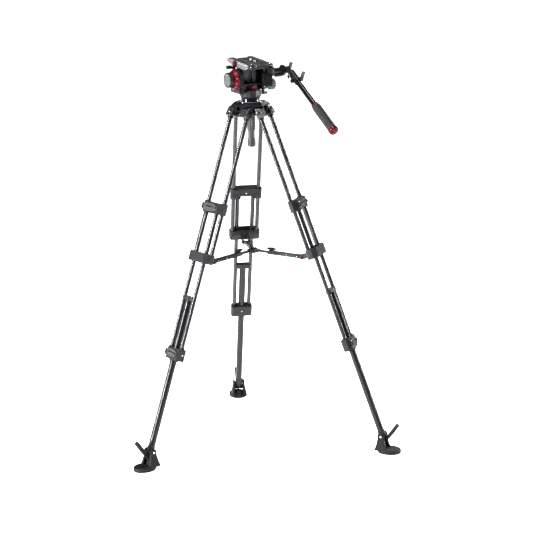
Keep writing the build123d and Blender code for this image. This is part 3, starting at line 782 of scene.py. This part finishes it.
def build_arm_knob(side):
    """The winged, fluted thumb knob on a spreader arm."""
    body = f"spreader_knob_{side}"
    fit = partial(piece, ARM[side], body)
    grip = [(0, 10), (8.2, 10, 0.5), (9.2, 10.8, 1.6), (9.5, 12, 1.8), (9.5, 17.4, 1.8), (8.6, 18.8, 1.5),
            (5.4, 19, 0), (4.8, 18.4, 0), (0, 18.4)]
    wings = prism("z", hull((0, -13), 5.4, (0, 13), 5.4), (11, 17.6), 1.6, 3)
    stem = lathe([(0, 6.9), (3, 6.9), (3, 10.2), (0, 10.2)], 20)
    knob = merge(lathe(grip, 72, flutes(8)), wings, stem)
    fit(f"{body}_grip", shift(knob, y=ARM_KNOB_Y), "lever", "satin_black", body)
    fit(f"{body}_insert", shift(screw(3, 1), y=ARM_KNOB_Y, z=18.3), "steel")


def build_spreader():
    """Hub with its cap, the three arms and their knobs."""
    dress("spreader_hub", "head_grey", 1)
    fit = partial(piece, TRIPOD, "spreader_hub")
    cap = lathe([(0, 770.6), (10.5, 770.6), (10.5, 772.2), (9.2, 773.6), (5, 773.8), (4.4, 773.2),
                 (0, 773.2)], 40)
    fit("spreader_hub_cap", cap, "arm", "satin_black")
    fit("spreader_hub_screw", shift(screw(3.4, 1.6), z=773.2), "steel")
    for leg, side in LEGS.items():
        build_arm(leg, side)
        build_arm_knob(side)


# ---- crown and levelling ball

def sphere_arc(radius, start, end, step):
    """Profile of a ball about the bowl's centre, by degrees up from its lowest point."""
    angles = [math.radians(t) for t in range(start, end, step)]
    return [(radius * math.sin(a), RIM_Z - radius * math.cos(a)) for a in angles]


def build_crown():
    """Six-sided roof, bowl, hip lugs and axles; then the machined rim and the roof's screws."""
    fit = partial(piece, TRIPOD, "crown")
    azimuths = [math.degrees(math.atan2(m[1][1], m[0][1])) for m in LEG.values()]

    def roof(legs, gaps, z):
        """A six-sided loop: how far out it lies over the legs and in the gaps between them."""
        return ray_loop([(legs, a) for a in azimuths] + [(gaps, a + 180) for a in azimuths], z)

    slopes = ((61, 66, 1325), (62, 67, 1326), (61, 66, 1330), (51, 57, 1338.8), (49.5, 55, 1339.6))
    well = [ray_loop([(43, 5 * k) for k in range(72)], z) for z in (1339.6, 1325)]
    cover = loft([*(roof(*slope) for slope in slopes), *well], closed=True)
    parts = [cover, lathe(sphere_arc(43.98, 88, 44, -4) + sphere_arc(37.6, 44, 90, 4), 96)]
    lug = rounded([(37, 1294.4), (57, 1294), (61.2, 1300), (61.2, 1312), (54, 1334.6), (37, 1334.6)], 4)
    for place in FOOT.values():
        lugs = both(lambda: prism("x", lug, (14, 22), 1))
        web = brick((-14.5, 14.5), (37, 45), (1296, 1334), 1)
        axle = turned([(0, -60.8), (6, -60.8), (6, 60.8), (0, 60.8)], RIGHT, (0, *HIP_AXLE), 32)
        parts.append(put(merge(lugs, web, axle), TRIPOD.inverted() @ place))
    fit("crown_casting", parts, "crown", "crown_black", "crown")
    rim = lathe([(37.7, 1336.5), (37.7, 1340.2), (38.4, 1340.9), (42.6, 1340.9), (43.4, 1340.3),
                 (43.4, 1338.5), (41.5, 1338)], 96)
    fit("crown_rim", rim, "steel", "pale_grey")
    for leg, side in LEGS.items():
        screws = merge(*[shift(screw(3.2, 2), x=x, y=50, z=1339.8) for x in (-14, 14)])
        piece(FOOT[leg], "crown", f"crown_screws_{side}", screws, "steel")


def build_ball():
    """Half ball with its flange and stud, and the clamp handle's dished nut and grip."""
    ball = [(0, 1306), (15, 1306), *sphere_arc(37.5, 26, 90, 4), (37.5, 1340.2), (36.6, 1341), (36, 1342),
            (36, 1346), (35.2, 1346.6), (35.2, 1348), (36, 1348.6), (36, 1351), (35, 1352), (0, 1352)]
    stud = [(0, 1260), (5.2, 1260), (6, 1261), (6, 1307), (0, 1307)]
    shell = merge(lathe(ball, 96), lathe(stud, 32))
    piece(TRIPOD, "ball", "half_ball_shell", shell, "black", "gloss_black", "half_ball")
    nut = [(0, 1288), (16, 1286.4), (25, 1286.8), (29, 1288.6, 0.8), (30, 1291, 1.6), (30, 1297, 1.6),
           (29, 1300.4, 0.8), (27.5, 1302), (25.2, 1302.5), (20, 1299.4), (12, 1296), (6.1, 1295),
           (0, 1295)]
    body = "clamp_handle"
    fit = partial(piece, TRIPOD, body)
    fit("clamp_nut", lathe(nut, 120, flutes(20)), "black", "handle_grey", body)
    grip = [(0, 1166), (8, 1166.2), (13, 1168), (15, 1172), (15, 1192), (13.8, 1196.5), (12.4, 1199),
            (12.2, 1203, 0.8), (12.4, 1226, 0.8), (13.8, 1230), (16, 1234, 0.6), (16, 1238, 1.8),
            (16, 1276, 1.8),
            (15.4, 1282, 0.6), (14, 1286), (12.5, 1289), (0, 1290)]
    fit("clamp_grip", lathe(grip, 96, flutes(12)), "black", "handle_grey")
    bands = [lathe([(12, z), (15.3, z), (15.5, z + 0.8), (15.3, z + 1.6), (12, z + 1.6)], 64)
             for z in (1175, 1180, 1185)]
    fit("clamp_knob_bands", bands, "rubber", "rubber_grey")


# ---- head

def build_pan():
    """Base casting, pan drag ring, yoke and spring housing, with what shows of their insides."""
    base = [(0, 1352), (33.5, 1352), (34.5, 1352.6), (40, 1360.2, 1), (40, 1362, 1), (40, 1378, 1),
            (39, 1381, 0.8), (36.4, 1384.6, 0.3), (34, 1385), (12, 1385), (12, 1400), (0, 1400)]
    casting = lathe(base, 120, facets(12, 40))
    fit_base = partial(piece, HEAD, "ball")
    fit_base("base_casting", casting, "head_casting", "casting_grey", "head_base")
    seal = lathe([(30, 1384.6), (35.4, 1384.6), (35.8, 1385.4), (35.4, 1386.4), (30, 1386.4)], 96)
    fit_base("base_seal", seal, "rubber", "rubber_black")
    ring = [(24, 1387.3), (29.6, 1387.3), (31, 1388.6, 0.7), (31, 1390, 0.9), (31, 1400, 0.9),
            (31, 1401.4, 0.7), (29.6, 1402.7), (24, 1402.7)]
    piece(HEAD, "pan_ring", "pan_ring_grip", lathe(ring, 180, flutes(45)), "red_trim", "dark_red",
          "pan_ring")
    dress("yoke", "head_grey", 1.6, 3)
    dress("spring_housing", "satin_black", 4, 4)
    fit = partial(piece, HEAD, "pan_frame")
    flank = prism("x", rounded([(-24, 1387), (24, 1387), (30, 1406), (-30, 1406)], 4), (-66.9, -65.6), 0.4)
    seam = prism("y", rounded([(-62, 1390), (-50, 1382), (-50, 1408), (-62, 1408)], 3), (-34.8, -33.6), 0.4)
    fit("yoke_panel", [flank, seam], "head_casting", "satin_black")
    cartridge = brick((-19.2, -5), (-14, 14), (1409, 1461), 1.6, 3)
    ribs = merge(*[brick((-18, -6.2), (-15, 15), (z, z + 2.4), 0.5) for z in (1414, 1446, 1453)])
    fit("drag_cartridge", [cartridge, ribs], "head_casting", "handle_grey")
    spring = brick((1.5, 17), (-13, 13), (1409, 1460), 3, 4)
    fit("spring_cartridge", spring, "black", "wall_grey")
    cover = prism("x", circle(30, 64, (0, TILT_Z)), (74.4, 76.6), 0.8)
    inner = turned([(0, 0), (12, 0), (12, 1.4), (11, 2.2), (0, 2.2)], RIGHT, (76.4, 0, TILT_Z), 48)
    fit("housing_cover", [cover, inner], "black", "satin_black")
    bolts = [bolt(2.6, 1.8, RIGHT, (76.5, y, z)) for y, z in circle(22, 6, (0, TILT_Z), 30, 390)]
    for direction, y in ((FRONT, -36), (BACK, 36)):
        bolts += [bolt(2.8, 1.8, direction, (x, y, z)) for x, z in ((40, 1396), (40, 1456), (68, 1456))]
    bolts.append(bolt(3, 1.8, FRONT, (-56, -34, 1399)))
    fit("pan_frame_screws", bolts, "steel")


def build_drag_unit():
    """Tilt drag ring with its index marks, and the fixed cap."""
    left = facing(LEFT, (-66.5, 0, TILT_Z))
    fit_ring, fit_cap = partial(piece, HEAD, "drag_ring"), partial(piece, HEAD, "pan_frame")
    ring = [(22, 0), (38.4, 0), (39, 0.6, 0.8), (39, 2.6, 0.8), (38.2, 3.2), (37.4, 3.4), (32.2, 12.6),
            (31.4, 13.4), (22, 13.4)]
    grip = put(lathe(ring, 216, flutes(54)), left)
    fit_ring("drag_ring_grip", grip, "red_trim", "red", "drag_ring")
    on_cone = Matrix.Translation((34.8, 0, 8.2)) @ Matrix.Rotation(math.radians(60.5), 4, "Y")
    marks = []
    for k in range(12):
        turn = Matrix.Rotation(math.radians(30 * k + 12), 4, "Z")
        length = 2 if k % 3 == 0 else 1.1
        marks.append(put(brick((-length, length), (-0.5, 0.5), (-0.3, 0.5), 0.15), left @ turn @ on_cone))
    fit_ring("drag_ring_marks", marks, "plate", "mark_white")
    cap = [(21.8, 13.8), (27.8, 13.8), (28.5, 14.6), (28.5, 24), (28, 24.6), (28, 25.6), (28.5, 26.2),
           (28.5, 31.4), (27, 33), (24.4, 33), (24, 32.2), (21.8, 32.2)]
    shell = put(lathe(cap, 96), left)
    fit_cap("drag_cap_shell", shell, "head_casting", "casting_grey", "drag_cap")
    face = [(0, 22), (23.8, 22), (23.8, 32.2), (23.2, 32.8), (13.6, 32.8), (13, 32), (11, 32), (10.4, 32.8),
            (0, 32.8)]
    fit_cap("drag_cap_face", put(lathe(face, 80), left), "head_casting", "rail_grey")
    screws = [put(bolt(2.2, 1, UP, (x, y, 32.4)), left) for x, y in circle(18.5, 3, (0, 0), 90, 450)]
    fit_cap("drag_cap_screws", screws, "steel")


def build_knobs():
    """Counterbalance knob, tilt lever and pan lever."""
    right = facing(RIGHT, (79, 0, 1398))
    knob = [(0, 0), (19.4, 0), (20.4, 0.8, 1), (21, 3, 2.2), (21, 17.5, 2.2), (20.2, 20.4, 1.6),
            (18.2, 22.6, 0.4), (16.8, 23), (15.8, 22.2), (0, 22.2)]
    body = "balance_knob"
    fit = partial(piece, HEAD, body)
    grip = put(lathe(knob, 144, flutes(18)), right)
    fit(f"{body}_grip", grip, "head_casting", "wall_grey", body)
    dial = []
    for k in range(10):
        turn = Matrix.Rotation(math.radians(36 * k), 4, "Z")
        dial.append(put(brick((-0.6, 0.6), (9.5, 14.5), (22, 22.7), 0.2), right @ turn))
    fit(f"{body}_dial", dial, "plate", "mark_white")
    body = "tilt_lever"
    fit = partial(piece, HEAD, body)
    hinge, end = (-22, 1440), (-62, 1441.5)
    crank = prism("x", hull(hinge, 8.8, end, 6.4), (80, 86), 1.4, 3)
    collar = turned([(0, 0), (9, 0), (9, 1.4), (0, 1.4)], RIGHT, (79.3, *hinge))
    grip = [(0, 0), (6.2, 0), (6.6, 3), (5.6, 8), (6.4, 18), (7.4, 25), (7.5, 29), (6.2, 31.6), (4, 32),
            (0, 32)]
    fit(f"{body}_crank", [crank, collar], "lever", "lever_grey", body)
    fit(f"{body}_grip", turned(grip, RIGHT, (80, *end), 40), "rubber", "satin_black")
    fit(f"{body}_screw", bolt(4, 2.2, RIGHT, (86, *hinge)), "steel")
    body = "pan_lever"
    fit = partial(piece, HEAD, body)
    paddle = prism("z", hull((49, -11.6), 6.8, (60, -12), 6.2), (1364.1, 1373.4), 2.2, 4)
    stem = lathe([(0, 1365), (6.6, 1365), (6.6, 1384.4), (6, 1385.2), (0, 1385.2)], 36)
    fit(f"{body}_paddle", [paddle, shift(stem, x=48.5, y=-10)], "lever", "wall_grey", body)
    fit(f"{body}_screw", bolt(3.6, 1.2, DOWN, (48.5, -10, 1364.4)), "steel")


def build_platform():
    """The tilting platform: tray, pale left wall, right rail, bar boss, scale and screws."""
    fit = partial(piece, TILT, "tilt_head")
    tray = merge(brick((-49.6, 50), (-82, 82), (1478, 1486), 0.8),
                 brick((-50, -29.5), (-81.6, 81.6), (1480, 1493.9), 0.8))
    fit("platform_tray", tray, "head_casting", "plate_grey", "platform")
    outline = rounded([(-82, 1482), (-60, 1472), (40, 1471), (82, 1482), (82, 1494), (-82, 1494)], 3)
    fit("platform_wall", prism("x", outline, (-57, -49.5), 1.2, 3), "head_casting", "wall_grey")
    right = brick((29.5, 50), (-82, 82), (1480, 1494), 1.2, 3)
    fit("platform_right", right, "head_casting", "rail_grey")
    grooves = merge(*[brick((49.4, 50.4), (-78, 78), (z, z + 1.6), 0.3) for z in (1483, 1487)])
    fit("platform_grooves", grooves, "head_casting", "satin_black")
    seat = turned([(11.2, 0), (13, 0), (13, 3), (12.4, 3.8), (11.2, 3.8)], LEFT, (-56.6, *BUTTON), 56)
    fit("plate_button_seat", seat, "head_casting", "satin_black")
    boss = prism("y", rounded([(38, 1456), (54, 1456), (54, 1480), (38, 1480)], 3), (-106, -60), 1.2, 3)
    stub = turned([(0, 0), (11, 0), (11, 38.4), (10.2, 39.2), (0, 39.2)], RIGHT, (38.6, *BAR_PIVOT), 40)
    lug = turned([(0, 0), (7.5, 0), (7.5, 26.6), (6.6, 27.4), (0, 27.4)], RIGHT, (50, -101, 1454), 32)
    fit("platform_boss", [boss, stub, lug], "head_casting", "head_grey")
    scale = []
    for k in range(19):
        high = 1492.5 if k % 5 == 0 else 1490.5
        scale.append(brick((-57.5, -56.9), (4 * k - 74, 4 * k - 73.4), (1488, high), 0.1))
    fit("platform_scale", scale, "plate", "mark_white")
    screws = [bolt(2.6, 1.4, UP, (x, y, 1494.2)) for x in (-40, 40) for y in (-72, 72)]
    for direction, y in ((FRONT, -82), (BACK, 82)):
        screws += [bolt(3, 1.6, direction, (x, y, 1486)) for x in (-44, 44)]
    fit("platform_screws", screws, "steel")


def build_plate():
    """The sliding plate's rubber strips, its clamp lever and safety button."""
    strips = []
    for x in (-26, 17):
        for k in range(31):
            y = 4.6 * k - 90
            strips.append(brick((x, x + 9), (y, y + 2.6), (1495.9, 1497.1), 0.4))
    piece(TILT, "plate", "plate_strips", strips, "rubber", "rubber_grey")
    body = "plate_lever"
    fit = partial(piece, TILT, body)
    blade = prism("z", hull((-59, 28), 7.6, (-84, 28), 5.6), (1463, 1470.4), 2, 3)
    hub = lathe([(0, 1461), (6.8, 1461), (8, 1462), (8, 1469.6), (7, 1470.5), (0, 1470.5)], 40)
    grip = prism("z", hull((-72, 28), 7.2, (-83.5, 28), 6.4), (1463, 1475), 3, 4)
    shape = merge(blade, shift(hub, x=-57.5, y=28), grip)
    fit(f"{body}_blade", shape, "lever", "satin_black", body)
    fit(f"{body}_screw", bolt(3.6, 1.4, DOWN, (-57.5, 28, 1461.2)), "steel")
    body = "plate_button"
    fit = partial(piece, TILT, body)
    cap = [(0, 3.2), (10.9, 3.2), (10.9, 5), (9.8, 6.4), (7, 6.8), (0, 6)]
    fit(f"{body}_cap", turned(cap, LEFT, (-57.2, *BUTTON), 56), "red_trim", "dark_red", body)


def build_camera_screws():
    """Two captive camera screws with real thread turns."""
    shapes = []
    steps = 20
    for y, radius, pitch in ((0, 3.175, 1.27), (-28, 4.7625, 1.59)):
        core = radius - 0.45
        end = PLATE_TOP + 6
        shank = lathe([(0, 1487.5), (core, 1487.5), (core, end - 0.6), (core - 0.8, end), (0, end)], 28)
        line = []
        for i in range(int(6.4 / pitch * steps)):
            a = math.tau * i / steps
            line.append((core * math.cos(a), y + core * math.sin(a), PLATE_TOP - 1 + pitch * i / steps))
        thread = sweep(line, [(-0.1, -pitch * 0.42), (0.42, 0), (-0.1, pitch * 0.42)], UP)
        shapes += [shift(shank, y=y), thread]
    piece(TILT, "plate", "camera_screw_pair", shapes, "steel", "steel", "camera_screws")


# ---- pan bar

def build_bar_arm():
    """Toothed rosette, curved arm, wing levers and the tube's clamp."""
    dress("bar_arm", "satin_black", 1.2, 3)
    dress("pivot_wing", "lever_grey", 2, 4)
    dress("tube_wing", "lever_grey", 2, 4)
    fit_pivot, fit_sleeve = partial(piece, TILT, "bar_arm"), partial(piece, BAR, "bar_arm")
    spot = (0, *BAR_PIVOT)
    teeth = [(12, 78.5), (19.2, 78.5, 0.6), (20.1, 79.4, 1.4), (20.1, 85, 1.4), (19.2, 86, 0.6), (12, 86)]
    rosette = turned(teeth, RIGHT, spot, 160, flutes(40))
    fit_pivot("rosette_teeth", rosette, "arm", "casting_grey")
    face = turned([(0, 104.2), (12.8, 104.2), (12.8, 105.1), (12, 105.25), (0, 105.25)], RIGHT, spot, 48)
    fit_pivot("rosette_face", face, "arm", "rail_grey")
    nut = [(0, 0), (7.6, 0), (8.4, 0.8, 0.6), (8.4, 6.4, 0.6), (7.4, 7.2), (0, 7.2)]
    sleeve_nut = put(shift(lathe(nut, 96, flutes(24)), z=-5), facing(LEFT, (-22.2, 0, 18)))
    fit_sleeve("sleeve_nut", sleeve_nut, "steel")
    screws = both(lambda: bolt(3, 2, RIGHT, (14.2, 0, 20)))
    fit_sleeve("sleeve_screws", screws, "steel")


def build_bar_tube():
    """Sliding tube with its red collar, ringed rubber grip and red end cap."""
    body = "bar_tube"
    fit = partial(piece, BAR, body)
    rod = [(0, 6), (10.4, 6), (11, 6.8), (11, 239), (10.4, 240), (0, 240)]
    fit(f"{body}_rod", lathe(rod, 56), "black", "gloss_black", body)
    collar = [(11.1, 190.6), (13.2, 190.6), (14, 191.6), (14, 194.4), (13.4, 195), (13.4, 196), (14, 196.6),
              (14, 200.6), (13.2, 201.6), (11.1, 201.6)]
    fit("bar_collar", lathe(collar, 56), "red_trim", "dark_red")
    grip = [(11.1, 201.8), (14.6, 201.8), (15.8, 203.4)]
    z = 207
    while z < 328:
        grip += [(16.4, z), (16.4, z + 3.4), (15.5, z + 4), (15.5, z + 4.8)]
        z += 5.4
    grip += [(16.4, z), (16.4, 333.8), (11.1, 333.8)]
    fit("bar_grip_rubber", lathe(grip, 56), "grip", "rubber_grey", "bar_grip")
    cap = [(0, 333.6), (16.4, 333.6), (18, 335.2), (18, 343.5), (16.4, 346.8), (13, 348), (0, 348)]
    fit("bar_end_cap", lathe(cap, 56), "red_trim", "dark_red")


# ---- stage

def into_scene(obj):
    """Link an object into the scene, and return it."""
    bpy.context.scene.collection.objects.link(obj)
    return obj


def place_light(light, spot):
    """Aim a light at the middle of the tripod."""
    obj = into_scene(bpy.data.objects.new(light.name, light))
    obj.location = spot
    obj.rotation_mode = "QUATERNION"
    obj.rotation_quaternion = (LIT_SPOT - Vector(spot)).to_track_quat("-Z", "Y")


def build_floor():
    """Pale round floor. It glows by its place, faintly in front and strongly behind the tripod."""
    finish_surface("floor_pale", (0.86, 0.86, 0.865), 0.6, grain=60, relief=0.02, mottle=0.01)
    tree = MATERIALS["floor_pale"].node_tree
    spot = add(tree, "ShaderNodeSeparateXYZ", Vector=tree.nodes.new("ShaderNodeTexCoord").outputs["Object"])
    shader = tree.nodes["Principled BSDF"]
    shader.inputs["Emission Color"].default_value = (1, 1, 1, 1)
    tree.links.new(between(tree, spot.outputs[1], *FLOOR_GLOW, *FLOOR_GLOW_Y),
                   shader.inputs["Emission Strength"])
    floor = into_scene(bpy.data.objects.new("floor", bpy.data.meshes.new("floor")))
    bm = bmesh.new()
    bmesh.ops.create_circle(bm, cap_ends=True, radius=60, segments=96)
    bm.to_mesh(floor.data)
    bm.free()
    floor.data.materials.append(MATERIALS["floor_pale"])


def build_lights():
    """Dim world, wide sun, and strip lights at the sides for hard lines on the tubes."""
    world = bpy.data.worlds.new("studio")
    world.use_nodes = True
    background = world.node_tree.nodes["Background"]
    background.inputs[0].default_value = (0.97, 0.98, 1, 1)
    background.inputs[1].default_value = WORLD_LIGHT
    bpy.context.scene.world = world
    sun = bpy.data.lights.new("sun", "SUN")
    sun.energy = SUN_LIGHT
    sun.angle = math.radians(50)
    place_light(sun, (-2, -2.4, 5))
    for name, spot, size, power in LAMPS:
        light = bpy.data.lights.new(name, "AREA")
        light.shape = "RECTANGLE"
        light.size, light.size_y = size
        light.energy = power
        place_light(light, spot)


def build_camera():
    """The camera, its roll included, and how its picture is toned."""
    camera = bpy.data.cameras.new("camera")
    camera.lens = 110.6
    camera.sensor_width = 36
    camera.shift_x = 0.0257
    camera.shift_y = 0.0047
    camera.clip_end = 200
    forward = CAMERA_HEADING.normalized()
    right = Matrix.Rotation(CAMERA_ROLL, 3, forward) @ forward.cross(UP).normalized()
    turn = Matrix((right, right.cross(forward), -forward)).transposed().to_4x4()
    obj = into_scene(bpy.data.objects.new("camera", camera))
    obj.matrix_world = Matrix.Translation(CAMERA_SPOT) @ turn
    bpy.context.scene.camera = obj
    bpy.context.scene.view_settings.view_transform = "Standard"
    bpy.context.scene.view_settings.look = "High Contrast"


for leg_name, leg_place in LEG.items():
    build_levers(leg_name, leg_place)
    build_tubes(leg_name, leg_place)
    build_collars(leg_name, leg_place)
    build_bracket(leg_name, leg_place)
    build_hip(leg_name, leg_place)
    build_end(leg_name, leg_place)
    build_shoe(leg_name)
build_spreader()
build_crown()
build_ball()
build_pan()
build_drag_unit()
build_knobs()
dress("cradle", "head_grey", 1.2, 3)
dress("plate", "plate_grey")
build_platform()
build_plate()
build_camera_screws()
build_bar_arm()
build_bar_tube()
build_floor()
build_lights()
build_camera()
